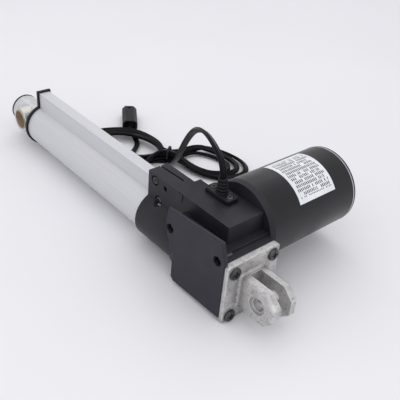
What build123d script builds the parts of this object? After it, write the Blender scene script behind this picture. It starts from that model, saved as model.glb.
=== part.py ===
from build123d import *
import math
import os

# Linear actuator. Millimetres. The origin is the centre of the rear pin bore.
# +Y is the way the rod extends, +X runs along the motor, +Z is up.

# Driving dimensions
STROKE = 150.0
PIN_TO_PIN = 336.0
FLOOR_Z = -24.5
SHELL = 0.02  # seat clearance between pieces of one body
RUN = 0.08  # radial running clearance between a moving piece and its guide

# Rear clevis
CLEVIS_BORE_R = 5.1
CLEVIS_COUNTERBORE_R = 7.2
CLEVIS_COUNTERBORE_DEPTH = 1.5
EAR_X0, EAR_X1 = -12.6, 11.4
SLOT_X0, SLOT_X1 = -5.8, 4.6
SLOT_END_Y = 15.5
EAR_TIP_Y = -16.3
EAR_HALF_Z = 14.5
EAR_TIP_HALF_Z = 6.0
EAR_SHOULDER_Y = -7.5
PLATE_Y0, PLATE_Y1 = 18.5, 23.5
PLATE_X0, PLATE_X1 = -26.0, 25.5
PLATE_Z0, PLATE_Z1 = FLOOR_Z, 27.0
CLEVIS_SCREW_X = 18.9
CLEVIS_SCREW_Z = (-19.25, 19.75)

# Gearbox
BOX_X0, BOX_X1 = -24.0, 25.0
BOX_Y0, BOX_Y1 = 23.5, 77.0
BOX_Z0, BOX_Z1 = -22.5, 29.0
LEDGE_Y = 30.0
LEDGE_Z = 27.5
DECK_Z = 43.0
DECK_X0 = -9.7
DECK_Y0 = 38.0
DECK_STEP_Y = 98.0
DECK_STEP_X = 15.3
DECK_WIDE_Y = 84.0
NOSE_X1 = 9.2
NOSE_X0 = DECK_X0
NOSE_Y0 = 86.0
COLLAR_R = 22.0
COLLAR_Y1 = 131.0
TUBE_SEAT_Y = 108.0
COVER_X0 = -27.0
COVER_SEAT_X = -22.4
COVER_BOSS_R = 5.0
COVER_SCREWS_YZ = ((80.8, 23.7), (29.1, 27.3))
COLLAR_SCREWS_YZ = ((122.5, 37.4), (117.3, 21.5))
NOSE_HOLE_YZ = (109.7, 36.5)
NOSE_BOSS_YZ = (92.0, 38.0)
NOSE_BOSS_R = 3.2
SLIT_WIDTH = 1.7
SLIT_DEPTH = 3.0

# Motor, its axis along X above the screw
MOTOR_Y, MOTOR_Z = 60.0, 21.0
MOTOR_R = 33.0
CAN_WALL = 2.0
HOOD_R0, HOOD_R1 = 32.6, 33.5
MOTOR_X0 = 30.0
CAN_X1 = 122.0
RIM_X1 = 123.0
CAP_X1 = 125.5
LABEL_X0, LABEL_X1 = 59.5, 100.5
LABEL_ANGLES = (64.5, 147.0)
LABEL_THICK = 0.25
CAP_SCREW_R = 24.0
CAP_SCREW_ANGLES = (45.0, 225.0)
COMMUTATOR_R = 9.5
BRUSH_YS = (
    (MOTOR_Y + COMMUTATOR_R + 0.3, MOTOR_Y + COMMUTATOR_R + 12.0),
    (MOTOR_Y - COMMUTATOR_R - 12.0, MOTOR_Y - COMMUTATOR_R - 0.3),
)

# Drive train
WORM_RATIO = 20
SCREW_LEAD = 6.0
WHEEL_OUT_R = 15.8
WHEEL_ROOT_R = 14.0
WHEEL_Y0, WHEEL_Y1 = 54.0, 66.0
WORM_R = 4.9
WORM_CORE_R = 3.6
WORM_HALF_LENGTH = 12.5
SHAFT_R = 4.0
TAIL_SHAFT_R = 3.0
TAIL_BEARING = (-20.5, -15.5, 6.5)  # start, end, outer radius
REAR_BEARING = (38.0, 46.0, 13.0)
FRONT_BEARING = (72.0, 80.0, 14.0)
REAR_JOURNAL_R, FRONT_JOURNAL_R = 5.0, 6.0
SCREW_R = 7.0
SCREW_END_Y = 292.0
WHEEL_CAVITY_R = 18.2
WORM_CAVITY_R = 6.6

# Tubes and rod
TUBE_R, TUBE_BORE_R = 19.6, 17.1
CHANNEL_HALF_X, CHANNEL_TOP_Z = 5.3, 34.3
CHANNEL_WALL = 1.5
WEB_TOP_Z = 19.2
KEY_SLOT_HALF_X = 1.7
TUBE_END_Y = 314.0
CAP_THICK, CAP_OVERHANG = 3.6, 1.6
BOARD_Z0 = 29.4
ROD_R, ROD_BORE_R = 14.0, 11.5
ROD_Y0, ROD_Y1 = 134.0, 356.4
EYE_R, EYE_BUSH_R, EYE_BORE_R = 13.0, 9.9, 9.0
EYE_HALF_X = 17.2
NUT_Y0, NUT_R, NUT_SPIGOT_Y1 = 114.0, 16.6, 146.0

# Cable
GLAND_X0, GLAND_X1 = 7.5, 19.5
GLAND_Y0, GLAND_Y1 = 58.5, 85.0
GLAND_THICK = 3.5
GLAND_SCREW_REACH = 9.0
RELIEF_HEIGHT = 12.0
RELIEF_R0, RELIEF_R1 = 5.0, 3.5
RIB_COUNT, RIB_PITCH = 4, 2.6
CORD_D = 5.6
TIE_XY = (85.5, 222.0)
TIE_TURN = -52.0
TIE_WIDTH = 3.0
TIE_REACH = 17.4
HANK_TOP_Z = -9.0
LEAD_ROUTE = [
    (13.5, 71.75, 58.5), (13.5, 72.6, 65.0), (14.5, 77.0, 71.5), (18.5, 88.5, 75.5),
    (28.0, 110.0, 75.0), (39.5, 134.0, 64.5), (49.0, 154.5, 43.5), (57.0, 172.5, 17.0), (69.0, 195.0, -4.0),
    (82.0, 213.0, -13.0),
]
TAIL_ROUTE = [(82.0, 280.0, -18.4), (84.5, 287.5, -18.2), (89.0, 294.2, -18.0)]
PLUG_LENGTH, PLUG_WIDTH, PLUG_HEIGHT = 38.0, 16.0, 13.0
PLUG_CORNER, PLUG_POCKET = 3.4, 5.0


def block(x0, x1, y0, y1, z0, z1):
    return Pos((x0 + x1) / 2, (y0 + y1) / 2, (z0 + z1) / 2) * Box(x1 - x0, y1 - y0, z1 - z0)


def rod_x(radius, start, end, y=0.0, z=0.0):
    return Pos((start + end) / 2, y, z) * Rot(0, 90, 0) * Cylinder(radius, end - start)


def rod_y(radius, start, end, x=0.0, z=0.0):
    return Pos(x, (start + end) / 2, z) * Rot(90, 0, 0) * Cylinder(radius, end - start)


def rod_z(radius, start, end, x=0.0, y=0.0):
    return Pos(x, y, (start + end) / 2) * Cylinder(radius, end - start)


def ring_x(outer, inner, start, end, y=0.0, z=0.0):
    return rod_x(outer, start, end, y, z) - rod_x(inner, start - 1, end + 1, y, z)


def ring_y(outer, inner, start, end, x=0.0, z=0.0):
    return rod_y(outer, start, end, x, z) - rod_y(inner, start - 1, end + 1, x, z)


def prism_x(points, x0, x1):
    """A (y, z) outline extruded along X."""
    outline = make_face(Polyline([(x0, y, z) for y, z in points], close=True))
    return extrude(outline, amount=x1 - x0, dir=(1, 0, 0))


def prism_z(points, z0, z1):
    outline = make_face(Polyline([(x, y, z0) for x, y in points], close=True))
    return extrude(outline, amount=z1 - z0, dir=(0, 0, 1))


def pan_screw(head_r, head_h, shank_r, shank_l, slot_w=1.3):
    """A cross-recess pan head screw pointing down -Z, the head's seat at z = 0."""
    head = Cylinder(head_r, head_h, align=(Align.CENTER, Align.CENTER, Align.MIN))
    head = fillet(head.edges().group_by(Axis.Z)[-1], head_h * 0.55)
    recess = Box(head_r * 1.15, slot_w, head_h) + Box(slot_w, head_r * 1.15, head_h)
    shank = Cylinder(shank_r, shank_l, align=(Align.CENTER, Align.CENTER, Align.MAX))
    return head + shank - Pos(0, 0, head_h) * recess


def profile_outline(grow=0.0):
    """The extrusion's outer outline: a round tube with a cable channel on top."""
    return Circle(TUBE_R + grow) + Pos(0, (CHANNEL_TOP_Z + grow) / 2) * Rectangle(
        2 * (CHANNEL_HALF_X + grow), CHANNEL_TOP_Z + grow
    )


def profile_y(y0, y1, grow=0.0):
    """The outline stood across Y, its channel towards +Z, and extruded along Y."""
    plane = Plane(origin=(0, y0, 0), x_dir=(-1, 0, 0), z_dir=(0, 1, 0))
    return extrude(plane * profile_outline(grow), amount=y1 - y0)


# ---------------------------------------------------------------- gearbox

def gearbox_housing():
    body = block(BOX_X0, BOX_X1, BOX_Y0, BOX_Y1, BOX_Z0, LEDGE_Z)
    body += block(BOX_X0, BOX_X1, LEDGE_Y, BOX_Y1, LEDGE_Z, BOX_Z1)
    body += block(DECK_X0, BOX_X1, DECK_Y0, DECK_WIDE_Y, 0, DECK_Z)
    body += block(DECK_X0, DECK_STEP_X, DECK_WIDE_Y, DECK_STEP_Y, 0, DECK_Z)
    body += block(NOSE_X0, NOSE_X1, NOSE_Y0, COLLAR_Y1, 0, DECK_Z)
    body += rod_y(COLLAR_R, BOX_Y1, COLLAR_Y1)
    body += prism_z([(BOX_X0, BOX_Y1), (-19.0, BOX_Y1), (-19.0, 87.0), (-20.3, 87.0)], -11.0, 11.0)
    body += block(BOX_X0, DECK_X0 + 1, BOX_Y1 - 1, DECK_WIDE_Y, 0, LEDGE_Z)
    body += rod_x(COVER_BOSS_R + 2.0, BOX_X0, DECK_X0 + 1, *COVER_SCREWS_YZ[0])
    body += rod_x(NOSE_BOSS_R, NOSE_X0 - 0.6, NOSE_X0, *NOSE_BOSS_YZ)
    body += block(
        NOSE_X0 - 0.6, NOSE_X0, NOSE_BOSS_YZ[0] - NOSE_BOSS_R, NOSE_BOSS_YZ[0] + NOSE_BOSS_R,
        NOSE_BOSS_YZ[1], DECK_Z - 0.4,
    )
    hood = Pos((BOX_X1 + MOTOR_X0) / 2, MOTOR_Y, MOTOR_Z) * Rot(0, 90, 0) * Cone(
        HOOD_R0, HOOD_R1, MOTOR_X0 - BOX_X1
    )
    body += hood
    # seats, open towards the side cover so that the drive train can be laid in
    for start, end, radius in (REAR_BEARING, FRONT_BEARING, (46.0, 72.0, WHEEL_CAVITY_R)):
        body -= rod_y(radius + SHELL, start, end)
        body -= block(BOX_X0 - 1, 0, start, end, -radius - SHELL, radius + SHELL)
    body -= rod_y(SCREW_R + 1.0, REAR_BEARING[0] - 6, REAR_BEARING[0])
    body -= rod_y(SCREW_R + 2.0, FRONT_BEARING[1], COLLAR_Y1)
    body -= rod_x(WORM_CAVITY_R, BOX_X0 - 1, BOX_X1 + 1, MOTOR_Y, MOTOR_Z)
    body -= rod_x(9.0, BOX_X1 - 1, MOTOR_X0 + 1, MOTOR_Y, MOTOR_Z)
    body -= profile_y(TUBE_SEAT_Y, COLLAR_Y1 + 1, SHELL)
    # fixings and small features
    for y, z in COVER_SCREWS_YZ:
        body -= rod_x(COVER_BOSS_R + SHELL, BOX_X0 - 1, COVER_SEAT_X + 1.5, y, z)
        body -= rod_x(1.7, BOX_X0, COVER_SEAT_X + 10, y, z)
    for y, z in COLLAR_SCREWS_YZ:
        body -= rod_x(4.3, NOSE_X0 - 15, NOSE_X0 + 1.6, y, z)
        body -= rod_x(1.5, NOSE_X0, -CHANNEL_HALF_X - SHELL, y, z)
    body -= rod_x(2.2, NOSE_X0 - 1, NOSE_X0 + 4, *NOSE_HOLE_YZ)
    for x in (-CLEVIS_SCREW_X, CLEVIS_SCREW_X):
        for z in CLEVIS_SCREW_Z:
            body -= rod_y(2.0, BOX_Y0 - 1, BOX_Y0 + 10, x, z)
    for y in gland_screw_ys():
        body -= rod_z(1.2, DECK_Z - 7, DECK_Z + 1, gland_x(), y)
    body -= rod_z(CORD_D / 2 + 0.4, WORM_CAVITY_R + MOTOR_Z, DECK_Z + 1, gland_x(), gland_y())
    slit = prism_z(
        [(0.8, COLLAR_Y1 + 1), (0.8 + SLIT_WIDTH, COLLAR_Y1 + 1), (2.2 + SLIT_WIDTH, 104.0), (2.2, 104.0)],
        DECK_Z - SLIT_DEPTH, DECK_Z + 1,
    )
    body -= slit + rod_z(0.9, DECK_Z - SLIT_DEPTH, DECK_Z + 1, 2.8, 104.0)
    return body


def side_cover():
    rim = [
        (84.5, 40.0), (26.4, 44.5), (21.5, 30.0), (21.7, -21.0), (73.8, -22.5), (77.4, -19.5),
        (77.3, -4.6), (76.0, 0.4), (80.4, 7.8), (84.4, 16.5), (86.6, 28.5),
    ]
    cover = prism_x(rim, COVER_X0, BOX_X0)
    cover = chamfer(cover.faces().sort_by(Axis.X)[0].outer_wire().edges(), 1.0)
    for start, end, radius in (REAR_BEARING, FRONT_BEARING):
        saddle = block(BOX_X0, -2.0, start + 0.5, end - 0.5, -radius + 0.5, radius - 0.5)
        cover += saddle - rod_y(radius + SHELL, start, end)
    for y, z in COVER_SCREWS_YZ:
        cover += rod_x(COVER_BOSS_R, BOX_X0, COVER_SEAT_X + 1.5, y, z)
        cover -= prism_x(hexagon(y, z, 4.4), COVER_X0 - 1, COVER_SEAT_X)
        cover -= rod_x(1.9, COVER_X0, COVER_SEAT_X + 2, y, z)
    cover -= block(PLATE_X0 - 0.05, PLATE_X1, PLATE_Y0 - 1, BOX_Y0, PLATE_Z0 - 1, PLATE_Z1 + 0.5)
    return cover


def hexagon(y, z, radius):
    return [
        (y + radius * math.cos(math.radians(60 * k + 30)), z + radius * math.sin(math.radians(60 * k + 30)))
        for k in range(6)
    ]


def side_cover_screws():
    turn = Rot(0, -90, 0)
    screw = pan_screw(3.4, 1.4, 1.65, 9.0, 0.9)
    return [Pos(COVER_SEAT_X, y, z) * turn * screw for y, z in COVER_SCREWS_YZ]


def collar_screws():
    turn = Rot(0, -90, 0)
    screw = pan_screw(3.2, 1.7, 1.45, 2.7, 0.9)
    return [Pos(NOSE_X0 + 1.6, y, z) * turn * screw for y, z in COLLAR_SCREWS_YZ]


# ---------------------------------------------------------------- rear clevis

def rear_clevis():
    ears = prism_x(
        [
            (PLATE_Y0 + 1, EAR_HALF_Z), (EAR_SHOULDER_Y, EAR_HALF_Z), (EAR_TIP_Y, EAR_TIP_HALF_Z),
            (EAR_TIP_Y, -EAR_TIP_HALF_Z), (EAR_SHOULDER_Y, -EAR_HALF_Z), (PLATE_Y0 + 1, -EAR_HALF_Z),
        ],
        EAR_X0, EAR_X1,
    )
    outer = [face for face in ears.faces() if abs(face.normal_at().X) > 0.9]
    sides = [e for face in outer for e in face.edges() if e.center().Y < PLATE_Y0]
    ears = fillet(sides, 2.5)
    plate = block(PLATE_X0, PLATE_X1, PLATE_Y0, PLATE_Y1, PLATE_Z0, PLATE_Z1)
    plate = fillet(plate.edges().filter_by(Axis.Y), 2.5)
    plate = chamfer(plate.faces().sort_by(Axis.Y)[0].outer_wire().edges(), 0.6)
    clevis = ears + plate
    root = [
        e for e in clevis.edges()
        if abs(e.center().Y - PLATE_Y0) < 0.01 and EAR_X0 - 0.5 < e.center().X < EAR_X1 + 0.5
        and abs(e.center().Z) < EAR_HALF_Z + 0.5
    ]
    clevis = fillet(root, 2.2)
    clevis -= block(SLOT_X0, SLOT_X1, EAR_TIP_Y - 1, SLOT_END_Y, -EAR_HALF_Z - 4, EAR_HALF_Z + 4)
    clevis -= rod_x(CLEVIS_BORE_R, EAR_X0 - 1, EAR_X1 + 1)
    clevis -= rod_x(CLEVIS_COUNTERBORE_R, EAR_X0 - 1, EAR_X0 + CLEVIS_COUNTERBORE_DEPTH)
    clevis -= rod_x(CLEVIS_COUNTERBORE_R, EAR_X1 - CLEVIS_COUNTERBORE_DEPTH, EAR_X1 + 1)
    for x in (-CLEVIS_SCREW_X, CLEVIS_SCREW_X):
        for z in CLEVIS_SCREW_Z:
            clevis -= rod_y(2.3, PLATE_Y0 - 1, PLATE_Y1 + 1, x, z)
    return clevis


def clevis_screws():
    screw = pan_screw(4.9, 2.2, 1.95, 14.0)
    turn = Rot(90, 0, 0)
    return [
        Pos(x, PLATE_Y0, z) * turn * screw
        for x in (-CLEVIS_SCREW_X, CLEVIS_SCREW_X)
        for z in CLEVIS_SCREW_Z
    ]


# ---------------------------------------------------------------- outer tube

def outer_tube():
    tube = profile_y(TUBE_SEAT_Y, TUBE_END_Y)
    tube -= rod_y(TUBE_BORE_R, TUBE_SEAT_Y - 1, TUBE_END_Y + 1)
    half = CHANNEL_HALF_X - CHANNEL_WALL
    tube -= block(-half, half, TUBE_SEAT_Y - 1, TUBE_END_Y + 1, WEB_TOP_Z, CHANNEL_TOP_Z - CHANNEL_WALL)
    tube -= block(-KEY_SLOT_HALF_X, KEY_SLOT_HALF_X, TUBE_SEAT_Y - 1, TUBE_END_Y + 1, 15.0, WEB_TOP_Z + 1)
    return tube


def front_cap():
    cap = profile_y(TUBE_END_Y, TUBE_END_Y + CAP_THICK, CAP_OVERHANG)
    cap = chamfer(cap.faces().sort_by(Axis.Y)[-1].outer_wire().edges(), 0.7)
    cap -= rod_y(ROD_R + 0.5, TUBE_END_Y - 1, TUBE_END_Y + CAP_THICK + 1)
    cap -= rod_y(16.0 + SHELL, TUBE_END_Y - 1, TUBE_END_Y + 1.8)
    return cap


def guide_bush():
    bush = ring_y(TUBE_BORE_R - SHELL, ROD_R + RUN, 289.0, TUBE_END_Y - SHELL)
    return bush


def wiper_seal():
    return ring_y(16.0, ROD_R + 0.35, TUBE_END_Y, TUBE_END_Y + 1.8 - SHELL)


def limit_switch_board():
    half = CHANNEL_HALF_X - CHANNEL_WALL - 0.1
    return block(-half, half, 112.0, 300.0, BOARD_Z0, BOARD_Z0 + 1.4)


def limit_switches():
    return [
        block(-3.0, 3.0, y - 6.0, y + 6.0, BOARD_Z0 - 5.0, BOARD_Z0) for y in (NUT_Y0 + 8, NUT_Y0 + 8 + STROKE)
    ]


# ---------------------------------------------------------------- rod

def inner_tube():
    tube = ring_y(ROD_R, ROD_BORE_R, ROD_Y0, ROD_Y1)
    return tube - rod_x(EYE_R + SHELL, -EYE_HALF_X, EYE_HALF_X, PIN_TO_PIN)


def rod_eye_sleeve():
    sleeve = ring_x(EYE_R, EYE_BUSH_R, -EYE_HALF_X + 0.6, EYE_HALF_X - 0.6, PIN_TO_PIN)
    return sleeve


def rod_eye_bush():
    bush = ring_x(EYE_BUSH_R - SHELL, EYE_BORE_R, -EYE_HALF_X, EYE_HALF_X, PIN_TO_PIN)
    return bush


def rod_end_plug():
    plug = rod_y(ROD_R + 0.3, ROD_Y1, ROD_Y1 + 1.6) + rod_y(ROD_BORE_R - SHELL, ROD_Y1 - 4.0, ROD_Y1)
    return plug


def drive_nut():
    nut = rod_y(NUT_R, NUT_Y0, ROD_Y0) + rod_y(ROD_BORE_R - SHELL, ROD_Y0, NUT_SPIGOT_Y1)
    return nut - rod_y(SCREW_R + RUN, NUT_Y0 - 1, NUT_SPIGOT_Y1 + 1)


def switch_trip():
    return block(-1.3, 1.3, NUT_Y0 + 2, NUT_Y0 + 14, 16.3, 22.5) - rod_y(NUT_R + SHELL, NUT_Y0, ROD_Y0)


# ---------------------------------------------------------------- screw

def lead_screw():
    screw = rod_y(SCREW_R, FRONT_BEARING[1] + 2.0, SCREW_END_Y)
    screw = chamfer(screw.edges().group_by(Axis.Y)[-1], 1.0)
    screw += rod_y(FRONT_JOURNAL_R, WHEEL_Y0, FRONT_BEARING[1] + 2.0)
    screw += rod_y(REAR_JOURNAL_R, 33.5, WHEEL_Y0)
    return screw


def worm_wheel():
    wheel = rod_y(WHEEL_OUT_R, WHEEL_Y0, WHEEL_Y1)
    for k in range(WORM_RATIO):
        angle = 360.0 * k / WORM_RATIO
        gap = Pos(0, 0, (WHEEL_ROOT_R + WHEEL_OUT_R) / 2 + 0.6) * Box(
            2.3, WHEEL_Y1 - WHEEL_Y0 + 2, WHEEL_OUT_R - WHEEL_ROOT_R + 1.2
        )
        wheel -= Pos(0, (WHEEL_Y0 + WHEEL_Y1) / 2, 0) * Rot(0, angle, 0) * gap
    return wheel - rod_y(FRONT_JOURNAL_R + SHELL, WHEEL_Y0 - 1, WHEEL_Y1 + 1)


def wheel_nut():
    nut = rod_y(9.5, WHEEL_Y0 - 5.0, WHEEL_Y0)
    return nut - rod_y(REAR_JOURNAL_R + SHELL, WHEEL_Y0 - 6, WHEEL_Y0 + 1)


def screw_bearing_rear():
    start, end, radius = REAR_BEARING
    return ring_y(radius, REAR_JOURNAL_R + RUN, start, end)


def screw_bearing_front():
    start, end, radius = FRONT_BEARING
    return ring_y(radius, FRONT_JOURNAL_R + RUN, start, end)


# ---------------------------------------------------------------- motor

def motor_can():
    can = ring_x(MOTOR_R, MOTOR_R - CAN_WALL, MOTOR_X0, CAN_X1, MOTOR_Y, MOTOR_Z)
    return can


def motor_front_flange():
    flange = rod_x(MOTOR_R - CAN_WALL - SHELL, MOTOR_X0, MOTOR_X0 + 5, MOTOR_Y, MOTOR_Z)
    flange += rod_x(12.0, MOTOR_X0 + 5, MOTOR_X0 + 9, MOTOR_Y, MOTOR_Z)
    flange -= rod_x(SHAFT_R + 0.6, MOTOR_X0 - 1, MOTOR_X0 + 10, MOTOR_Y, MOTOR_Z)
    return flange - rod_x(8.0 + SHELL, MOTOR_X0 + 4, MOTOR_X0 + 10, MOTOR_Y, MOTOR_Z)


def motor_bearing_front():
    return ring_x(8.0, SHAFT_R + RUN, MOTOR_X0 + 4, MOTOR_X0 + 9, MOTOR_Y, MOTOR_Z)


def motor_end_cap():
    cap = rod_x(MOTOR_R - CAN_WALL - SHELL, CAN_X1 - 5, CAN_X1, MOTOR_Y, MOTOR_Z)
    cap += rod_x(MOTOR_R - 1.2, CAN_X1, RIM_X1, MOTOR_Y, MOTOR_Z)
    face = rod_x(MOTOR_R, RIM_X1, CAP_X1, MOTOR_Y, MOTOR_Z)
    cap += chamfer(face.edges().group_by(Axis.X)[-1], 0.8)
    cap -= rod_x(8.0 + SHELL, CAN_X1 - 6, CAN_X1, MOTOR_Y, MOTOR_Z)
    for angle in CAP_SCREW_ANGLES:
        y, z = on_motor(angle, CAP_SCREW_R)
        cap -= rod_x(1.8, CAN_X1 - 6, CAP_X1 + 1, y, z)
    return cap


def on_motor(angle, radius):
    turn = math.radians(angle)
    return MOTOR_Y + radius * math.cos(turn), MOTOR_Z + radius * math.sin(turn)


def motor_cap_screws():
    screw = pan_screw(3.2, 1.6, 1.7, 7.0, 0.9)
    turn = Rot(0, 90, 0)
    return [Pos(CAP_X1, *on_motor(angle, CAP_SCREW_R)) * turn * screw for angle in CAP_SCREW_ANGLES]


def motor_rim_ring():
    return ring_x(MOTOR_R + 0.15, MOTOR_R - 1.2 + SHELL, CAN_X1, RIM_X1, MOTOR_Y, MOTOR_Z)


def motor_bearing_rear():
    return ring_x(8.0, SHAFT_R + RUN, CAN_X1 - 5, CAN_X1, MOTOR_Y, MOTOR_Z)


def motor_label():
    band = ring_x(MOTOR_R + LABEL_THICK, MOTOR_R + SHELL, LABEL_X0, LABEL_X1, MOTOR_Y, MOTOR_Z)
    reach = MOTOR_R + 10
    middle = sum(LABEL_ANGLES) / 2
    wedge = [(MOTOR_Y, MOTOR_Z)]
    wedge += [on_motor(angle, reach * 1.3) for angle in (LABEL_ANGLES[0], middle, LABEL_ANGLES[1])]
    return band & prism_x(wedge, LABEL_X0 - 1, LABEL_X1 + 1)


def stator_magnets():
    shell = ring_x(MOTOR_R - CAN_WALL - SHELL, 26.0, 44.0, 98.0, MOTOR_Y, MOTOR_Z)
    return [
        shell & block(40, 100, MOTOR_Y - 40, MOTOR_Y + 40, MOTOR_Z + side * 22.5 - 15, MOTOR_Z + side * 22.5 + 15)
        for side in (-1, 1)
    ]


def brush_holder():
    holder = ring_x(MOTOR_R - CAN_WALL - SHELL, 16.0, 108.0, 111.0, MOTOR_Y, MOTOR_Z)
    for y0, y1 in BRUSH_YS:
        holder -= block(104.0, 112.0, y0 - 0.05, y1 + 0.05, MOTOR_Z - 3.05, MOTOR_Z + 3.05)
    return holder


def carbon_brushes():
    return [block(106.0, 111.0, y0, y1, MOTOR_Z - 3.0, MOTOR_Z + 3.0) for y0, y1 in BRUSH_YS]


def worm_tail_bearing():
    start, end, radius = TAIL_BEARING
    return ring_x(radius, TAIL_SHAFT_R + RUN, start, end, MOTOR_Y, MOTOR_Z)


def armature_shaft():
    shaft = rod_x(SHAFT_R, WORM_HALF_LENGTH, CAN_X1 - 0.5, MOTOR_Y, MOTOR_Z)
    shaft += rod_x(WORM_CORE_R, -WORM_HALF_LENGTH, WORM_HALF_LENGTH, MOTOR_Y, MOTOR_Z)
    shaft += rod_x(TAIL_SHAFT_R, TAIL_BEARING[0], -WORM_HALF_LENGTH, MOTOR_Y, MOTOR_Z)
    pitch = math.pi * 2 * (MOTOR_Z - WORM_R) / WORM_RATIO
    for k in range(-2, 3):
        ridge = Pos(k * pitch, MOTOR_Y, MOTOR_Z) * Rot(0, 90, 0) * Cylinder(WORM_R, pitch * 0.45)
        shaft += ridge
    return shaft


def armature_core():
    core = ring_x(25.0, SHAFT_R + SHELL, 48.0, 94.0, MOTOR_Y, MOTOR_Z)
    for k in range(12):
        y, z = on_motor(30.0 * k, 23.5)
        core -= rod_x(1.0, 47.0, 95.0, y, z)
        slot = Pos(71.0, MOTOR_Y, MOTOR_Z) * Rot(30.0 * k, 0, 0) * Pos(0, 24.5, 0) * Box(50, 2.0, 0.8)
        core -= slot
    return core


def armature_windings():
    return [
        ring_x(22.0, SHAFT_R + SHELL, 40.5, 48.0, MOTOR_Y, MOTOR_Z),
        ring_x(22.0, SHAFT_R + SHELL, 94.0, 101.0, MOTOR_Y, MOTOR_Z),
    ]


def commutator():
    drum = ring_x(COMMUTATOR_R, SHAFT_R + SHELL, 102.0, 113.0, MOTOR_Y, MOTOR_Z)
    for k in range(12):
        bar_gap = Pos(107.5, MOTOR_Y, MOTOR_Z) * Rot(30.0 * k, 0, 0) * Pos(0, COMMUTATOR_R, 0) * Box(12, 1.0, 0.4)
        drum -= bar_gap
    return drum


# ---------------------------------------------------------------- cable

def gland_x():
    return (GLAND_X0 + GLAND_X1) / 2


def gland_y():
    return (GLAND_Y0 + GLAND_Y1) / 2


def gland_screw_ys():
    return (gland_y() - GLAND_SCREW_REACH, gland_y() + GLAND_SCREW_REACH)


def cable_gland():
    plate = block(GLAND_X0, GLAND_X1, GLAND_Y0, GLAND_Y1, DECK_Z, DECK_Z + GLAND_THICK)
    plate = chamfer(plate.edges().filter_by(Axis.Z), 1.8)
    plate = chamfer(plate.faces().sort_by(Axis.Z)[-1].outer_wire().edges(), 0.4)
    for y in gland_screw_ys():
        plate -= rod_z(3.1, DECK_Z + GLAND_THICK - 1.2, DECK_Z + GLAND_THICK + 1, gland_x(), y)
        plate -= rod_z(1.3, DECK_Z - 1, DECK_Z + GLAND_THICK, gland_x(), y)
    return plate


def gland_screws():
    screw = pan_screw(2.8, 1.6, 1.15, 8.0, 0.85)
    return [Pos(gland_x(), y, DECK_Z + GLAND_THICK - 1.2) * screw for y in gland_screw_ys()]


def strain_relief():
    foot = DECK_Z + GLAND_THICK
    relief = Pos(gland_x(), gland_y(), foot + RELIEF_HEIGHT / 2) * Cone(RELIEF_R0, RELIEF_R1, RELIEF_HEIGHT)
    for k in range(RIB_COUNT):
        z = foot + 1.6 + RIB_PITCH * k
        relief -= ring_z(RELIEF_R0 + 2, 3.3 - 0.15 * k, z, z + RIB_PITCH / 2)
    return relief


def ring_z(outer, inner, z0, z1):
    return rod_z(outer, z0, z1, gland_x(), gland_y()) - rod_z(inner, z0 - 1, z1 + 1, gland_x(), gland_y())


def cord_tube(route, name):
    """A tube of straight runs and tangent arcs, each arc as large as its runs allow."""
    points = [Vector(*p) for p in route]
    radii = []
    for before, corner, after in zip(points, points[1:], points[2:]):
        turn = (corner - before).get_angle(after - corner)
        shorter = min((corner - before).length, (after - corner).length)
        radii.append(0.45 * shorter / math.tan(math.radians(turn) / 2))
    path = FilletPolyline(*route, radius=radii)
    plane = Plane(origin=points[0], z_dir=points[1] - points[0])
    tube = sweep(plane * Circle(CORD_D / 2), path=path)
    section = math.pi * CORD_D ** 2 / 4
    print(name, "radii", [round(r, 1) for r in radii], "length", round(path.length, 1),
          "volume ratio", round(tube.volume / (section * path.length), 4))
    return tube


def lobe(centre, along, half_long, half_wide):
    """A rounded lobe of the hank seen from above."""
    turn = math.degrees(math.atan2(along[1], along[0]))
    outline = Pos(centre[0], centre[1]) * Rot(0, 0, turn) * Ellipse(half_long, half_wide)
    return outline


def cable_hank():
    outline = lobe((60.0, 264.0), (-0.42, 0.907), 47.0, 30.0)
    outline += lobe((118.0, 188.0), (0.42, -0.907), 43.0, 27.0)
    hank = extrude(Pos(0, 0, FLOOR_Z) * outline, amount=HANK_TOP_Z - FLOOR_Z)
    low = (Align.CENTER, Align.CENTER, Align.MIN)
    frame = Pos(*TIE_XY, FLOOR_Z) * Rot(0, 0, TIE_TURN)
    hank -= frame * Box(TIE_WIDTH + 0.4, 60, 40, align=low)
    waist = frame * Pos(0, 0, 1.2) * Box(44, TIE_REACH - 2.4, HANK_TOP_Z - FLOOR_Z - 2.4, align=low)
    return hank + waist


def cable_tie():
    high = HANK_TOP_Z - FLOOR_Z - 0.2
    frame = Pos(*TIE_XY, FLOOR_Z + 0.1) * Rot(0, 0, TIE_TURN)
    low = (Align.CENTER, Align.CENTER, Align.MIN)
    band = Box(TIE_WIDTH, TIE_REACH, high, align=low)
    band -= Pos(0, 0, 1.1) * Box(TIE_WIDTH + 1, TIE_REACH - 2.4, high - 2.2, align=low)
    return frame * band


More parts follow.
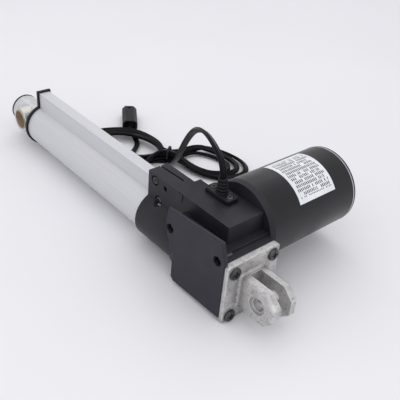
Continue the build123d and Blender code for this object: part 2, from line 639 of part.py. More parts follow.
def cable_plug():
    """An eight-sided plug lying on the floor, its cable neck set back in a pocket."""
    start = Vector(*TAIL_ROUTE[-1])
    direction = (start - Vector(*TAIL_ROUTE[-2])).normalized()
    heading = math.degrees(math.atan2(direction.Y, direction.X))
    frame = Pos(start.X, start.Y, FLOOR_Z + PLUG_HEIGHT / 2) * Rot(0, 0, heading)
    shell = Pos(PLUG_LENGTH / 2, 0, 0) * Box(PLUG_LENGTH, PLUG_WIDTH, PLUG_HEIGHT)
    shell = chamfer(shell.edges().filter_by(Axis.X), PLUG_CORNER)
    shell = chamfer(shell.faces().sort_by(Axis.X)[-1].outer_wire().edges(), 1.6)
    shell = chamfer(shell.faces().sort_by(Axis.X)[0].outer_wire().edges(), 0.5)
    shell -= Box(2 * PLUG_POCKET, PLUG_WIDTH - 3.6, PLUG_HEIGHT - 3.6)
    shell += Pos(PLUG_POCKET / 2 + 1, 0, 0) * Rot(0, 90, 0) * Cone(3.2, 4.0, PLUG_POCKET + 1)
    for side in (-1, 1):
        shell -= Pos(PLUG_LENGTH * 0.45, side * PLUG_WIDTH / 2, 0) * Box(PLUG_LENGTH * 0.45, 1.6, 2.6)
        shell -= Pos(PLUG_LENGTH - 3, side * 3.2, 0) * Rot(0, 90, 0) * Cylinder(1.5, 12)
    shell -= Pos(PLUG_LENGTH - 5.5, 0, PLUG_HEIGHT / 2) * Cylinder(1.7, 3.0)
    return frame * shell


def export_all():
    os.makedirs("parts", exist_ok=True)
    lead = cord_tube(LEAD_ROUTE, "cable_lead")
    tail = cord_tube(TAIL_ROUTE, "cable_tail")
    hank = cable_hank()
    tie = cable_tie()
    plug = cable_plug()
    cords = {
        "cable_hank": hank,
        "cable_tie": tie,
        "cable_plug": plug,
        "cable_lead": lead - hank - tie - strain_relief(),
        "cable_tail": tail - hank - plug,
    }
    builders = [
        gearbox_housing, side_cover, side_cover_screws, collar_screws, rear_clevis, clevis_screws,
        outer_tube, front_cap, guide_bush, wiper_seal, limit_switch_board, limit_switches,
        inner_tube, rod_eye_sleeve, rod_eye_bush, rod_end_plug, drive_nut, switch_trip,
        lead_screw, worm_wheel, wheel_nut, screw_bearing_rear, screw_bearing_front,
        motor_can, motor_front_flange, motor_bearing_front, motor_end_cap, motor_cap_screws,
        motor_rim_ring, motor_bearing_rear, motor_label, stator_magnets, brush_holder,
        carbon_brushes, worm_tail_bearing, armature_shaft, armature_core, armature_windings,
        commutator, cable_gland, gland_screws, strain_relief,
    ]
    for build in builders:
        shape = build()
        if isinstance(shape, list):
            shape = Compound(children=shape)
        export_step(shape, f"parts/{build.__name__}.step")
    for name, shape in cords.items():
        export_step(shape, f"parts/{name}.step")


export_all()
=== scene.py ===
import math

import bmesh
import bpy
from mathutils import Matrix, Vector, noise


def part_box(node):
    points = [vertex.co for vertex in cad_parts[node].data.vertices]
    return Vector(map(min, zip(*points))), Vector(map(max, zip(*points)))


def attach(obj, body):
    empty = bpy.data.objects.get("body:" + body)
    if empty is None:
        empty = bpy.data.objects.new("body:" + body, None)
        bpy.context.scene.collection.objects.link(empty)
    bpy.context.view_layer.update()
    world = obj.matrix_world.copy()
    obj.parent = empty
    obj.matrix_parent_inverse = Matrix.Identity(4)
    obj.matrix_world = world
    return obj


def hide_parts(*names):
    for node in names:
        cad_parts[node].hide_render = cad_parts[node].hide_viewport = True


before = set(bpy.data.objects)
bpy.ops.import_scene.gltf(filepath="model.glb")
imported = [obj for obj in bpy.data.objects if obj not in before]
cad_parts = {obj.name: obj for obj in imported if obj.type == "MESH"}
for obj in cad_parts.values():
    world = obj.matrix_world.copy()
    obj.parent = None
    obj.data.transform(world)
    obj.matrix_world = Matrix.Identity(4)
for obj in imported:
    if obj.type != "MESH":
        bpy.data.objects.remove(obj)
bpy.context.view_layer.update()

MM = 0.001
FLOOR_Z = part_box("rear_clevis")[0][2]
ROOT = "gearbox_body"


# ------------------------------------------------------------------ camera

AZIMUTH, ELEVATION, ROLL = math.radians(-43.6), math.radians(33.68), math.radians(5.53)
CAMERA_AT = Vector((-0.27075, -0.20417, 0.30090))
LENS_MM = 56.8


def add_camera():
    forward = Vector((
        -math.sin(AZIMUTH) * math.cos(ELEVATION),
        math.cos(AZIMUTH) * math.cos(ELEVATION),
        -math.sin(ELEVATION),
    ))
    level_right = forward.cross(Vector((0, 0, 1))).normalized()
    level_up = level_right.cross(forward)
    right = level_right * math.cos(ROLL) + level_up * math.sin(ROLL)
    up = level_up * math.cos(ROLL) - level_right * math.sin(ROLL)
    camera = bpy.data.objects.new("camera", bpy.data.cameras.new("camera"))
    camera.data.lens = LENS_MM
    camera.data.sensor_width = 36.0
    camera.data.clip_start = 0.01
    turn = Matrix((right, up, -forward)).transposed()
    camera.matrix_world = Matrix.Translation(CAMERA_AT) @ turn.to_4x4()
    bpy.context.collection.objects.link(camera)
    bpy.context.scene.camera = camera


# ------------------------------------------------------------------ meshes

def new_piece(name, mesh, body=ROOT):
    piece = bpy.data.objects.new(name, mesh)
    bpy.context.collection.objects.link(piece)
    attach(piece, body)
    return piece


def smooth(mesh, angle=40):
    for polygon in mesh.polygons:
        polygon.use_smooth = True
    mesh.set_sharp_from_angle(angle=math.radians(angle))


# ------------------------------------------------------------------ cable

# Places along the route are in millimetres.
CORD_WIDTH = 5.6 * MM
CORD_THICK = 4.2 * MM
CORD_WAIST = 0.34
CORD_REST_Z = FLOOR_Z / MM + 2.75
ROLL_SWING = 0.6
ROLL_RATE = 44
LEVELLING = 0.15
STEEP = 0.3

LEAD_ROUTE = [
    (13.5, 71.75, 58.5), (13.5, 72.6, 65.0), (14.5, 77.0, 71.5), (18.5, 88.5, 75.5),
    (28.0, 110.0, 75.0), (39.5, 134.0, 64.5), (49.0, 154.5, 43.5), (57.0, 172.5, 17.0), (65.5, 189.0, -3.5),
    (74.5, 203.5, -14.5), (84.0, 218.5, -21.6), (69.0, 229.5, -22.0),
]
# from the tie over the left lobe's near side, down inside the lobe, then under its far side to the plug
LAST_TURN = [
    (66.0, 224.5, -14.0), (54.0, 220.5, -17.0), (43.5, 226.0, -17.2), (42.0, 236.0, -17.2),
    (48.0, 243.5, -18.0), (58.8, 249.6, -21.4), (69.0, 256.5, -22.2), (77.0, 263.5, -22.2),
    (81.0, 271.5, -21.6),
]
TAIL_ROUTE = [(82.0, 280.0, -18.4), (84.5, 287.5, -18.2), (89.0, 294.2, -18.0)]

TIE_AT = Vector((85.5, 222.0))
TIE_TURN = math.radians(-52)
TIE_ALONG = Vector((math.cos(TIE_TURN), math.sin(TIE_TURN)))
TIE_ACROSS = Vector((-math.sin(TIE_TURN), math.cos(TIE_TURN)))
TIE_LEVELS = (-22.2, -18.9, -15.5, -12.1)
TIE_STRAIGHT = 7.0
STRAND_SIDE = 2.8

# centre, direction away from the tie, half length, half width, and how large each turn is
LEFT_LOBE = (Vector((61.5, 264.0)), Vector((-0.33, 0.944)), 47.0, 28.5, (1.0, 0.87, 0.74))
RIGHT_LOBE = (Vector((116.5, 190.5)), Vector((0.42, -0.907)), 37.0, 26.0, (0.74, 1.0, 0.87))
TURNS = 3
LOBE_START = 128
LOBE_POINTS = 10
CENTRE_HOLD = 0.25
WIDTH_FALL = 1.4
TURN_LIFT = 0.4
WOBBLE_RATE = 0.03
WOBBLE_SEED = 7.7
WOBBLE_SIDE = 1.5
WOBBLE_LIFT = 1.2

# the turns rise over the last run of the cable where it passes under them
TAIL_CROSSING = Vector((79.0, 267.0))
HUMP_FOOT = 44.0
HUMP_TOP = 18.0
HUMP_HEIGHT = 4.6


def through_tie(side, level, heading):
    """A strand's points just before and after the tie, where it runs square through the band."""
    beside = TIE_AT + TIE_ACROSS * side
    ends = (beside - TIE_ALONG * heading * TIE_STRAIGHT, beside + TIE_ALONG * heading * TIE_STRAIGHT)
    return [(place.x, place.y, level) for place in ends]


def lobe_points(lobe, turn, level):
    """One turn round a lobe, from the tie round the lobe's far end and back to the tie."""
    centre, axis, half_long, half_wide, scales = lobe
    scale = scales[turn]
    centre = TIE_AT + (centre - TIE_AT) * (CENTRE_HOLD + (1 - CENTRE_HOLD) * scale)
    side = Vector((-axis.y, axis.x)) * half_wide * (1 - WIDTH_FALL * (1 - scale))
    points = []
    for k in range(LOBE_POINTS):
        angle = math.radians(LOBE_START * (1 - 2 * k / (LOBE_POINTS - 1)))
        place = centre + axis * half_long * scale * math.cos(angle) + side * math.sin(angle)
        near_tie = (0.5 - 0.5 * math.cos(angle)) ** 2
        wobble = noise.noise(Vector((place.x * WOBBLE_RATE, place.y * WOBBLE_RATE, turn * WOBBLE_SEED)))
        hump = (HUMP_FOOT - (place - TAIL_CROSSING).length) / (HUMP_FOOT - HUMP_TOP)
        hump = HUMP_HEIGHT * min(1.0, max(0.0, hump))
        z = CORD_REST_Z + max((level - CORD_REST_Z) * near_tie, hump)
        z += WOBBLE_LIFT * abs(wobble) + turn * TURN_LIFT
        points.append((place.x + WOBBLE_SIDE * wobble, place.y - WOBBLE_SIDE * wobble, z))
    return points


def cord_route():
    """The whole cable's route: arch, tied hank and tail."""
    route = list(LEAD_ROUTE)
    for turn in range(TURNS):
        if turn:
            route += through_tie(-STRAND_SIDE, TIE_LEVELS[turn], -1)
        route += lobe_points(LEFT_LOBE, turn, TIE_LEVELS[turn])
        route += through_tie(STRAND_SIDE, TIE_LEVELS[turn], 1)
        route += lobe_points(RIGHT_LOBE, turn, TIE_LEVELS[turn])
    route += through_tie(-STRAND_SIDE, TIE_LEVELS[TURNS], -1)
    route += LAST_TURN
    route += TAIL_ROUTE
    return route


def spline_path(points, name):
    """Points along the NURBS spline that has these points as its control points."""
    curve = bpy.data.curves.new(name, "CURVE")
    curve.dimensions = "3D"
    spline = curve.splines.new("NURBS")
    spline.points.add(len(points) - 1)
    for control, (x, y, z) in zip(spline.points, points):
        control.co = (x * MM, y * MM, z * MM, 1.0)
    spline.order_u = 3
    spline.use_endpoint_u = True
    spline.resolution_u = 8
    holder = bpy.data.objects.new(name, curve)
    line = bpy.data.meshes.new_from_object(holder)
    path = [vertex.co.copy() for vertex in line.vertices]
    bpy.data.objects.remove(holder)
    bpy.data.meshes.remove(line)
    bpy.data.curves.remove(curve)
    return path


def rounded(value, power):
    return math.copysign(abs(value) ** power, value)


def twin_section(width, thick, steps=20):
    """The outline of a flat twin flex: two round cores side by side in one sheath."""
    section = []
    for k in range(steps):
        angle = 2 * math.pi * k / steps
        waist = 1.0 - CORD_WAIST * abs(math.sin(angle)) ** 5
        x = 0.5 * width * rounded(math.cos(angle), 0.8)
        y = 0.5 * thick * rounded(math.sin(angle), 0.75) * waist
        section.append((x, y))
    return section


def sweep_mesh(name, path, section):
    """A closed tube of this section along the path, its wide side turning to lie level."""
    rings = []
    normal = Vector((1, 0, 0))
    total = len(path)
    for i, point in enumerate(path):
        ahead = path[min(i + 1, total - 1)] - path[max(i - 1, 0)]
        ahead.normalize()
        level = ahead.cross(Vector((0, 0, 1)))
        if level.length > STEEP:
            level.normalize()
            if level.dot(normal) < 0:
                level.negate()
            normal = normal.lerp(level, LEVELLING)
        normal = (normal - ahead * normal.dot(ahead)).normalized()
        binormal = ahead.cross(normal)
        roll = ROLL_SWING * math.sin(ROLL_RATE * i / (total - 1))
        across = normal * math.cos(roll) + binormal * math.sin(roll)
        other = ahead.cross(across)
        rings.append([point + across * x + other * y for x, y in section])
    count = len(section)
    faces = []
    for i in range(total - 1):
        for k in range(count):
            a = i * count + k
            b = i * count + (k + 1) % count
            faces.append((a, b, b + count, a + count))
    faces.append(tuple(reversed(range(count))))
    faces.append(tuple((total - 1) * count + k for k in range(count)))
    mesh = bpy.data.meshes.new(name)
    mesh.from_pydata([vertex for ring in rings for vertex in ring], [], faces)
    smooth(mesh, 60)
    return mesh


def add_cable():
    path = spline_path(cord_route(), "cable_route")
    mesh = sweep_mesh("flat_cable", path, twin_section(CORD_WIDTH, CORD_THICK))
    cable = new_piece("flat_cable", mesh)
    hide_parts("cable_lead", "cable_hank", "cable_tail")
    cable.data.materials.append(cable_material())


TIE_HALF_WIDE = 6.5 * MM
TIE_INSET = 0.7 * MM
TIE_STEPS = 48
# the band's section: along the strands, and outward from them
TIE_SECTION = ((-1.1, 0.0), (-1.1, 0.5), (-0.8, 0.8), (0.8, 0.8), (1.1, 0.5), (1.1, 0.0))


def add_tie():
    """A flat black band pulled tight round the strands."""
    along = TIE_ALONG.to_3d()
    across = TIE_ACROSS.to_3d()
    up = Vector((0, 0, 1))
    low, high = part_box("cable_tie")
    middle = Vector((TIE_AT.x * MM, TIE_AT.y * MM, (low.z + high.z) / 2))
    half_high = (high.z - low.z) / 2 - TIE_INSET
    mesh = bmesh.new()
    rows = []
    for k in range(TIE_STEPS):
        angle = 2 * math.pi * k / TIE_STEPS
        side = rounded(math.cos(angle), 0.6)
        rise = rounded(math.sin(angle), 0.6)
        outward = (across * side + up * rise).normalized()
        place = middle + across * TIE_HALF_WIDE * side + up * half_high * rise
        rows.append([mesh.verts.new(place + along * a * MM + outward * b * MM) for a, b in TIE_SECTION])
    count = len(TIE_SECTION)
    for k in range(TIE_STEPS):
        ahead = rows[(k + 1) % TIE_STEPS]
        for m in range(count):
            n = (m + 1) % count
            mesh.faces.new((rows[k][m], rows[k][n], ahead[n], ahead[m]))
    bmesh.ops.recalc_face_normals(mesh, faces=mesh.faces)
    data = bpy.data.meshes.new("hank_tie")
    mesh.to_mesh(data)
    mesh.free()
    smooth(data, 35)
    tie = new_piece("hank_tie", data)
    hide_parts("cable_tie")
    return tie


# ------------------------------------------------------------------ materials

class Recipe:
    """A Principled material built up from noise, in the row frame's metres."""

    def __init__(self, name, metallic=0.0, specular=0.5, coat=0.0, coat_rough=0.2):
        self.material = bpy.data.materials.new(name)
        self.material.use_nodes = True
        self.tree = self.material.node_tree
        self.shader = self.tree.nodes["Principled BSDF"]
        self.shader.inputs["Metallic"].default_value = metallic
        self.shader.inputs["Specular IOR Level"].default_value = specular
        self.shader.inputs["Coat Weight"].default_value = coat
        self.shader.inputs["Coat Roughness"].default_value = coat_rough
        self.place = self.tree.nodes.new("ShaderNodeTexCoord").outputs["Object"]
        self.relief = None

    def link(self, source, target):
        self.tree.links.new(source, target)

    def stretch(self, factors):
        mapping = self.tree.nodes.new("ShaderNodeMapping")
        mapping.inputs["Scale"].default_value = factors
        self.link(self.place, mapping.inputs["Vector"])
        return mapping.outputs["Vector"]

    def noise(self, size, detail=3.0, factors=None):
        """Noise whose features are about this many metres across."""
        node = self.tree.nodes.new("ShaderNodeTexNoise")
        node.inputs["Scale"].default_value = 1.0 / size
        node.inputs["Detail"].default_value = detail
        self.link(self.stretch(factors) if factors else self.place, node.inputs["Vector"])
        return node.outputs["Fac"]

    def remap(self, value, low, high, new_low=0.0, new_high=1.0):
        node = self.tree.nodes.new("ShaderNodeMapRange")
        limits = {"From Min": low, "From Max": high, "To Min": new_low, "To Max": new_high}
        for socket, number in limits.items():
            node.inputs[socket].default_value = number
        self.link(value, node.inputs["Value"])
        return node.outputs["Result"]

    def math(self, operation, a, b=None):
        node = self.tree.nodes.new("ShaderNodeMath")
        node.operation = operation
        for socket, value in zip(node.inputs, (a, b)):
            if value is None:
                continue
            if isinstance(value, (int, float)):
                socket.default_value = value
            else:
                self.link(value, socket)
        return node.outputs["Value"]

    def mix(self, amount, first, second):
        node = self.tree.nodes.new("ShaderNodeMix")
        node.data_type = "RGBA"
        self.link(amount, node.inputs["Factor"])
        for socket, value in ((node.inputs[6], first), (node.inputs[7], second)):
            if isinstance(value, tuple):
                socket.default_value = (*value, 1.0)
            else:
                self.link(value, socket)
        return node.outputs[2]

    def edges(self, radius):
        """1 along the solid's sharp edges, 0 elsewhere."""
        bevel = self.tree.nodes.new("ShaderNodeBevel")
        bevel.samples = 6
        bevel.inputs["Radius"].default_value = radius
        geometry = self.tree.nodes.new("ShaderNodeNewGeometry")
        dot = self.tree.nodes.new("ShaderNodeVectorMath")
        dot.operation = "DOT_PRODUCT"
        self.link(bevel.outputs["Normal"], dot.inputs[0])
        self.link(geometry.outputs["Normal"], dot.inputs[1])
        return self.remap(dot.outputs["Value"], 0.995, 0.90)

    def painted_shade_mask(self, reach):
        """1 in corners and slots, 0 on open faces: where painted shade goes."""
        node = self.tree.nodes.new("ShaderNodeAmbientOcclusion")
        node.samples = 6
        node.inputs["Distance"].default_value = reach
        return self.remap(node.outputs["AO"], 0.95, 0.35)

    def soften(self, radius):
        """Rounds the look of sharp edges."""
        bevel = self.tree.nodes.new("ShaderNodeBevel")
        bevel.samples = 6
        bevel.inputs["Radius"].default_value = radius
        self.relief = bevel.outputs["Normal"]

    def bump(self, height, depth, strength=1.0):
        node = self.tree.nodes.new("ShaderNodeBump")
        node.inputs["Distance"].default_value = depth
        node.inputs["Strength"].default_value = strength
        self.link(height, node.inputs["Height"])
        if self.relief:
            self.link(self.relief, node.inputs["Normal"])
        self.relief = node.outputs["Normal"]

    def finish(self, colour, roughness):
        if isinstance(colour, tuple):
            self.shader.inputs["Base Color"].default_value = (*colour, 1.0)
        else:
            self.link(colour, self.shader.inputs["Base Color"])
        self.link(roughness, self.shader.inputs["Roughness"])
        if self.relief:
            self.link(self.relief, self.shader.inputs["Normal"])
        return self.material


def plastic(
    name, dark, light, edge_colour_wear_and_highlight, rough,
    grain=0.5 * MM, depth=0.02 * MM, round_edge=0.35 * MM, specular=0.24, painted_shade_reach=2.5 * MM,
):
    """Moulded plastic: fine grain, patchy gloss, painted shade in crevices, and sharp edges painted a little
    lighter as partly rubbed wear and partly painted highlight.
    """
    recipe = Recipe(name, specular=specular)
    recipe.soften(round_edge)
    patches = recipe.remap(recipe.noise(18 * MM, 4), 0.3, 0.7)
    colour = recipe.mix(patches, dark, light)
    # painted highlight along sharp edges, partly rubbed wear: colour lightened there in patches
    edge_patches_wear_and_highlight = recipe.remap(recipe.noise(6 * MM), 0.35, 0.65, 0.25, 1)
    colour = recipe.mix(recipe.math("MULTIPLY", recipe.edges(round_edge), edge_patches_wear_and_highlight), colour, edge_colour_wear_and_highlight)
    # painted shade: colour darkened towards black in corners and crevices, where shade falls
    shade = recipe.math("MULTIPLY", recipe.painted_shade_mask(painted_shade_reach), 0.85)
    colour = recipe.mix(shade, colour, (0.002, 0.002, 0.0025))
    smears = recipe.remap(recipe.noise(30 * MM, 5, (1, 0.4, 1)), 0.3, 0.7, rough - 0.07, rough + 0.07)
    recipe.bump(recipe.noise(grain, 2), depth, 0.6)
    recipe.bump(recipe.noise(grain * 14, 2), depth * 2, 0.35)
    return recipe.finish(colour, smears)


def powder_coat(name, dark, light, rough):
    """Black satin powder coat with its orange-peel skin and a few dusty specks."""
    recipe = Recipe(name, specular=0.36, coat=0.08, coat_rough=0.30)
    recipe.soften(0.4 * MM)
    colour = recipe.mix(recipe.remap(recipe.noise(26 * MM, 5), 0.35, 0.7), dark, light)
    dust = recipe.math("MULTIPLY", recipe.remap(recipe.noise(1.6 * MM, 2), 0.66, 0.74), 0.25)
    colour = recipe.mix(dust, colour, (0.05, 0.05, 0.056))
    recipe.bump(recipe.noise(1.1 * MM, 2), 0.03 * MM, 0.5)
    return recipe.finish(colour, recipe.remap(recipe.noise(22 * MM, 4), 0.3, 0.7, rough - 0.06, rough + 0.08))


def extrusion():
    """Satin anodised extrusion: faint die lines along its length."""
    recipe = Recipe("anodised_extrusion", metallic=0.35, specular=0.3)
    recipe.soften(0.5 * MM)
    lines = recipe.noise(1.3 * MM, 3, (1.0, 0.012, 1.0))
    colour = recipe.mix(recipe.remap(lines, 0.3, 0.7), (0.58, 0.58, 0.60), (0.66, 0.66, 0.68))
    clouds = recipe.remap(recipe.noise(35 * MM, 4, (1, 0.5, 1)), 0.35, 0.7)
    colour = recipe.mix(clouds, colour, (0.63, 0.63, 0.65))
    recipe.bump(lines, 0.012 * MM, 0.5)
    recipe.bump(recipe.noise(0.35 * MM, 2), 0.01 * MM, 0.4)
    return recipe.finish(colour, recipe.remap(clouds, 0, 1, 0.46, 0.56))


def die_cast():
    """Raw die casting: rough skin, pits, painted shade in recesses and slots, and sharp edges painted lighter
    as partly rubbed wear and partly painted highlight.
    """
    recipe = Recipe("die_cast_aluminium", metallic=0.65, specular=0.5)
    recipe.soften(0.5 * MM)
    skin = recipe.noise(2.2 * MM, 6)
    patches = recipe.remap(recipe.noise(9 * MM, 5), 0.35, 0.68)
    colour = recipe.mix(patches, (0.48, 0.47, 0.46), (0.66, 0.65, 0.64))
    stains = recipe.math("MULTIPLY", recipe.remap(skin, 0.52, 0.70), 0.55)
    colour = recipe.mix(stains, colour, (0.17, 0.155, 0.14))
    # painted shade: colour darkened in recesses and slots, where shade falls
    shade = recipe.math("MULTIPLY", recipe.painted_shade_mask(9 * MM), 0.7)
    colour = recipe.mix(shade, colour, (0.10, 0.098, 0.095))
    # painted highlight along sharp edges, partly rubbed wear
    edge_lift_wear_and_highlight = recipe.math("MULTIPLY", recipe.edges(0.7 * MM), 0.8)
    colour = recipe.mix(edge_lift_wear_and_highlight, colour, (0.86, 0.85, 0.84))
    recipe.bump(skin, 0.14 * MM, 0.6)
    recipe.bump(recipe.noise(0.5 * MM, 3), 0.05 * MM, 0.6)
    return recipe.finish(colour, recipe.remap(skin, 0.3, 0.7, 0.36, 0.58))


def metal(
    name, dark, light, rough,
    lines=(1, 1, 1), round_edge=0.25 * MM, metallic=1.0, depth=0.008 * MM,
):
    """Turned or ground metal; lines stretches its scratches along an axis."""
    recipe = Recipe(name, metallic=metallic)
    if round_edge:
        recipe.soften(round_edge)
    scratch = recipe.noise(0.7 * MM, 4, lines)
    colour = recipe.mix(recipe.remap(recipe.noise(7 * MM, 4), 0.3, 0.7), dark, light)
    recipe.bump(scratch, depth, 0.5)
    return recipe.finish(colour, recipe.remap(scratch, 0.3, 0.7, rough - 0.04, rough + 0.08))


LABEL_FROM, LABEL_TO = math.radians(64.5), math.radians(147.0)
LABEL_END_MARGIN = 3 * MM
LABEL_SIDE_MARGIN = 4 * MM
BAR_WIDTH = 1.8 * MM
BAR_ROW = 3.3 * MM
BAR_GAP = 0.42 * MM


def printed_film():
    """The motor's label: rows of plain bars that stand for print, along the motor."""
    recipe = Recipe("printed_film", specular=0.4)
    low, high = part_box("motor_can")
    centre_y, centre_z = (low.y + high.y) / 2, (low.z + high.z) / 2
    radius = (high.y - low.y) / 2
    split = recipe.tree.nodes.new("ShaderNodeSeparateXYZ")
    recipe.link(recipe.place, split.inputs[0])
    x = split.outputs["X"]
    y = recipe.math("SUBTRACT", split.outputs["Y"], centre_y)
    z = recipe.math("SUBTRACT", split.outputs["Z"], centre_z)
    arc = recipe.math("MULTIPLY", recipe.math("ARCTAN2", z, y), radius)
    join = recipe.tree.nodes.new("ShaderNodeCombineXYZ")
    recipe.link(x, join.inputs["X"])
    recipe.link(arc, join.inputs["Y"])
    bricks = recipe.tree.nodes.new("ShaderNodeTexBrick")
    recipe.link(join.outputs[0], bricks.inputs["Vector"])
    bricks.inputs["Scale"].default_value = 1.0
    bricks.inputs["Brick Width"].default_value = BAR_WIDTH
    bricks.inputs["Row Height"].default_value = BAR_ROW
    bricks.inputs["Mortar Size"].default_value = BAR_GAP
    bricks.inputs["Mortar Smooth"].default_value = 0.1
    bricks.inputs["Color1"].default_value = (0, 0, 0, 1)
    bricks.inputs["Color2"].default_value = (1, 1, 1, 1)
    bricks.inputs["Mortar"].default_value = (1, 1, 1, 1)
    bars = recipe.remap(bricks.outputs["Color"], 0.86, 0.84)
    label_low, label_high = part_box("motor_label")
    inside = recipe.math(
        "MULTIPLY",
        window(recipe, x, label_low.x + LABEL_END_MARGIN, label_high.x - LABEL_END_MARGIN),
        window(recipe, arc, LABEL_FROM * radius + LABEL_SIDE_MARGIN, LABEL_TO * radius - LABEL_SIDE_MARGIN),
    )
    strength = recipe.remap(recipe.noise(2.4 * MM, 1), 0.30, 0.42, 0.55, 0.97)
    ink = recipe.math("MULTIPLY", recipe.math("MULTIPLY", bars, inside), strength)
    clouds = recipe.remap(recipe.noise(14 * MM, 3), 0.3, 0.7)
    paper = recipe.mix(clouds, (0.74, 0.75, 0.78), (0.84, 0.85, 0.87))
    colour = recipe.mix(ink, paper, (0.02, 0.02, 0.025))
    recipe.bump(recipe.noise(4 * MM, 2), 0.02 * MM, 0.4)
    return recipe.finish(colour, recipe.remap(recipe.noise(10 * MM), 0.3, 0.7, 0.34, 0.48))


def window(recipe, value, low, high):
    """1 between low and high, 0 outside."""
    above = recipe.math("GREATER_THAN", value, low)
    return recipe.math("MULTIPLY", above, recipe.math("LESS_THAN", value, high))


def cable_material():
    """Black PVC sheath, with painted shade where strands lie against each other."""
    recipe = Recipe("cable_sheath_pvc", specular=0.07)
    clouds = recipe.remap(recipe.noise(12 * MM, 4), 0.35, 0.7)
    colour = recipe.mix(clouds, (0.004, 0.004, 0.005), (0.009, 0.009, 0.0105))
    # painted shade: colour darkened where strands lie against each other
    shade = recipe.math("MULTIPLY", recipe.painted_shade_mask(4 * MM), 0.8)
    colour = recipe.mix(shade, colour, (0.0015, 0.0015, 0.002))
    recipe.bump(recipe.noise(0.8 * MM, 2), 0.02 * MM, 0.4)
    return recipe.finish(colour, recipe.remap(recipe.noise(9 * MM, 3), 0.3, 0.7, 0.26, 0.38))


def laminated(name, dark, light, axis_stretch):
    """Stacked sheets or wound wire, striped across the stretched axes."""
    recipe = Recipe(name, metallic=0.7)
    stripes = recipe.noise(0.6 * MM, 2, axis_stretch)
    colour = recipe.mix(recipe.remap(stripes, 0.4, 0.6), dark, light)
    recipe.bump(stripes, 0.05 * MM, 0.7)
    return recipe.finish(colour, recipe.remap(recipe.noise(6 * MM), 0.3, 0.7, 0.4, 0.6))


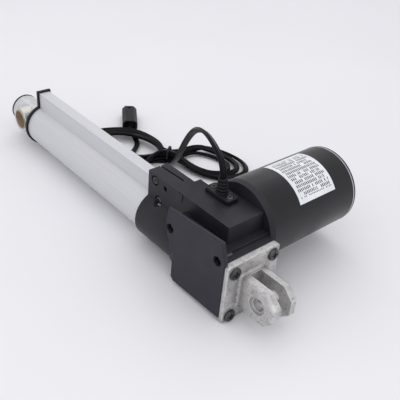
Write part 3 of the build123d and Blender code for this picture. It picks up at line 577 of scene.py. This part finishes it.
def dress_nodes(tie):
    """A material for every CAD node and for the tie."""
    # each plastic's fourth colour is painted on sharp edges, partly wear and partly painted highlight; the
    # housing gets a shorter reach of painted shade
    housing = plastic(
        "housing_charcoal", (0.0160, 0.0155, 0.0200), (0.0225, 0.0220, 0.0285), (0.075, 0.075, 0.09), 0.46,
        painted_shade_reach=1.2 * MM,
    )
    cover = plastic(
        "cover_charcoal", (0.0225, 0.0220, 0.0300), (0.0300, 0.0290, 0.0380), (0.09, 0.09, 0.105), 0.55,
    )
    black = plastic(
        "black_moulding", (0.010, 0.010, 0.012), (0.017, 0.017, 0.020), (0.05, 0.05, 0.06), 0.40,
        round_edge=0.2 * MM, specular=0.16,
    )
    rubber = plastic(
        "black_rubber", (0.018, 0.018, 0.020), (0.026, 0.026, 0.029), (0.03, 0.03, 0.034), 0.55,
        grain=0.8 * MM, round_edge=0.12 * MM, specular=0.16,
    )
    acetal = plastic("white_acetal", (0.62, 0.60, 0.55), (0.70, 0.68, 0.63), (0.76, 0.75, 0.70), 0.40)
    board = plastic("green_board", (0.015, 0.10, 0.035), (0.02, 0.14, 0.05), (0.10, 0.22, 0.12), 0.35)
    screw = metal(
        "blackened_screw", (0.035, 0.035, 0.038), (0.12, 0.12, 0.125), 0.26,
        metallic=0.85, round_edge=0.12 * MM,
    )
    steel = metal("ground_steel", (0.50, 0.50, 0.51), (0.62, 0.62, 0.63), 0.24)
    chrome = metal(
        "hard_chrome", (0.60, 0.60, 0.61), (0.70, 0.70, 0.71), 0.24,
        lines=(1, 0.05, 1), metallic=0.7, round_edge=0, depth=0.0015 * MM,
    )
    turned = metal(
        "turned_steel", (0.55, 0.54, 0.52), (0.70, 0.69, 0.67), 0.33,
        lines=(8, 1, 1), metallic=0.7, depth=0.003 * MM,
    )
    bronze = metal("sintered_bronze", (0.42, 0.33, 0.25), (0.60, 0.49, 0.39), 0.42, metallic=0.55)
    copper = laminated("copper_wire", (0.30, 0.11, 0.05), (0.62, 0.28, 0.13), (1, 1, 1))
    laminations = laminated("lamination_stack", (0.16, 0.16, 0.17), (0.32, 0.32, 0.33), (1, 0.05, 0.05))
    ferrite = metal("ferrite", (0.05, 0.05, 0.055), (0.09, 0.09, 0.095), 0.5, metallic=0.2)
    coat = powder_coat("motor_powder_coat", (0.004, 0.004, 0.005), (0.0075, 0.0075, 0.009), 0.36)
    nodes_of = {
        housing: ["gearbox_housing"],
        cover: ["side_cover"],
        black: ["front_cap", "cable_gland", "limit_switches", "brush_holder", "rod_end_plug", "cable_plug",
                "cable_tie"],
        rubber: ["wiper_seal", "strain_relief"],
        acetal: ["guide_bush", "worm_wheel", "switch_trip"],
        board: ["limit_switch_board"],
        screw: ["side_cover_screws", "collar_screws", "clevis_screws", "gland_screws", "motor_cap_screws"],
        steel: ["lead_screw", "wheel_nut", "screw_bearing_rear", "screw_bearing_front", "motor_bearing_front",
                "motor_bearing_rear", "worm_tail_bearing", "armature_shaft", "motor_rim_ring"],
        chrome: ["inner_tube"],
        turned: ["rod_eye_sleeve"],
        bronze: ["rod_eye_bush", "drive_nut"],
        copper: ["armature_windings", "commutator"],
        laminations: ["armature_core"],
        ferrite: ["stator_magnets", "carbon_brushes"],
        coat: ["motor_can", "motor_end_cap"],
        extrusion(): ["outer_tube"],
        die_cast(): ["rear_clevis", "motor_front_flange"],
        printed_film(): ["motor_label"],
        cable_material(): ["cable_lead", "cable_hank", "cable_tail"],
    }
    tie.data.materials.append(black)
    for material, names in nodes_of.items():
        for name in names:
            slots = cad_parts[name].data.materials
            if not slots:
                slots.append(material)
            for k in range(len(slots)):
                slots[k] = material


# ------------------------------------------------------------------ stage

FLOOR_REACH = 6.0
FLOOR_DROP = 0.0002


def add_floor():
    z = FLOOR_Z - FLOOR_DROP
    corners = [(-FLOOR_REACH, -FLOOR_REACH, z), (FLOOR_REACH, -FLOOR_REACH, z),
               (FLOOR_REACH, FLOOR_REACH, z), (-FLOOR_REACH, FLOOR_REACH, z)]
    mesh = bpy.data.meshes.new("floor")
    mesh.from_pydata(corners, [], [(0, 1, 2, 3)])
    floor = bpy.data.objects.new("floor", mesh)
    bpy.context.collection.objects.link(floor)
    recipe = Recipe("pale_floor", specular=0.2)
    clouds = recipe.remap(recipe.noise(0.4, 3), 0.3, 0.7)
    colour = recipe.mix(clouds, (0.80, 0.80, 0.815), (0.825, 0.825, 0.84))
    mesh.materials.append(recipe.finish(colour, recipe.remap(recipe.noise(0.2), 0.3, 0.7, 0.55, 0.65)))


def add_light(name, place, target, size, watts):
    data = bpy.data.lights.new(name, "AREA")
    data.energy = watts
    data.size = size
    light = bpy.data.objects.new(name, data)
    light.location = place
    light.rotation_euler = (Vector(target) - Vector(place)).to_track_quat("-Z", "Y").to_euler()
    bpy.context.collection.objects.link(light)


WORLD_COLOUR = (0.955, 0.955, 1.0, 1.0)
WORLD_STRENGTH = 0.80
LIGHTS_AIM = (0.03, 0.14, 0.0)


def add_lights():
    bpy.context.scene.view_settings.view_transform = "Standard"
    world = bpy.data.worlds.new("studio")
    world.use_nodes = True
    background = world.node_tree.nodes["Background"]
    background.inputs["Color"].default_value = WORLD_COLOUR
    background.inputs["Strength"].default_value = WORLD_STRENGTH
    bpy.context.scene.world = world
    add_light("key", (0.30, 0.65, 1.10), LIGHTS_AIM, 1.3, 3.2)
    add_light("front", (-0.25, -0.75, 1.0), LIGHTS_AIM, 1.6, 4.0)
    add_light("fill", (-1.0, 0.1, 0.8), LIGHTS_AIM, 1.4, 1.8)


add_camera()
tie = add_tie()
add_cable()
dress_nodes(tie)
add_floor()
add_lights()
